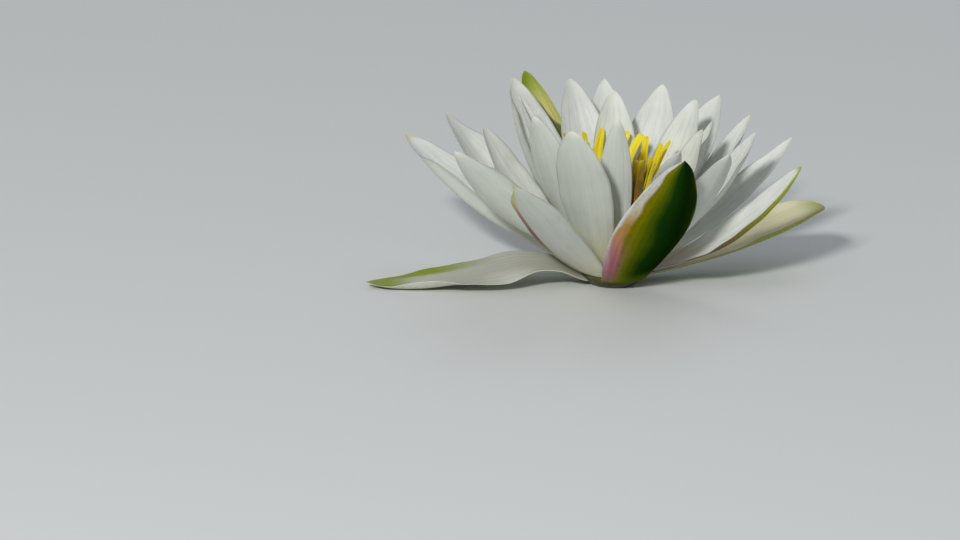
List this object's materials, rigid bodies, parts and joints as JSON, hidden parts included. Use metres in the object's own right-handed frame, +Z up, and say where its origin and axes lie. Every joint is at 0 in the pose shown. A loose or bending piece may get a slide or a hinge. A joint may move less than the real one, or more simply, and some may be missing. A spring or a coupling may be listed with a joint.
{
  "type": "water lily flower",
  "caption": "Open white water lily blossom with cupped pointed petals, green-backed sepals and yellow ribbon stamens, picked and standing on its trimmed base.",
  "frame": {"origin": "centre of the trimmed face under the receptacle, where the flower rests", "axes": "+X along the flower's widest spread, from the sepal that lies down to the opposite side; +Y towards the tall back petals; +Z up through the stigma disc"},
  "size_m": [0.1231, 0.1034, 0.0487],
  "materials": {
    "petal": "satin",
    "sepal": "satin",
    "stamen": "satin",
    "stigma": "matte",
    "receptacle": "satin"
  },
  "bodies": {
    "root": {"receptacle": "receptacle", "stigma_disc": "stigma", "sepal_left": "sepal", "sepal_front": "sepal", "sepal_right": "sepal", "sepal_back": "sepal", "petal_01": "petal", "petal_02": "petal", "petal_03": "petal", "petal_04": "petal", "petal_05": "petal", "petal_06": "petal", "petal_07": "petal", "petal_08": "petal", "petal_09": "petal", "petal_10": "petal", "petal_11": "petal", "petal_12": "petal", "petal_13": "petal", "petal_14": "petal", "petal_15": "petal", "petal_16": "petal", "petal_17": "petal", "petal_18": "petal", "petal_19": "petal", "petal_20": "petal", "petal_21": "petal", "petal_22": "petal", "petal_23": "petal", "petal_24": "petal", "petal_25": "petal", "stamen_01": "stamen", "stamen_02": "stamen", "stamen_03": "stamen", "stamen_04": "stamen", "stamen_05": "stamen", "stamen_06": "stamen", "stamen_07": "stamen", "stamen_08": "stamen", "stamen_09": "stamen", "stamen_10": "stamen", "stamen_11": "stamen", "stamen_12": "stamen", "stamen_13": "stamen", "stamen_14": "stamen", "stamen_15": "stamen", "stamen_16": "stamen", "stamen_17": "stamen", "stamen_18": "stamen", "stamen_19": "stamen", "stamen_20": "stamen", "stamen_21": "stamen", "stamen_22": "stamen", "stamen_23": "stamen", "stamen_24": "stamen", "stamen_25": "stamen", "stamen_26": "stamen", "stamen_27": "stamen", "stamen_28": "stamen", "stamen_29": "stamen"}
  },
  "joints": []
}
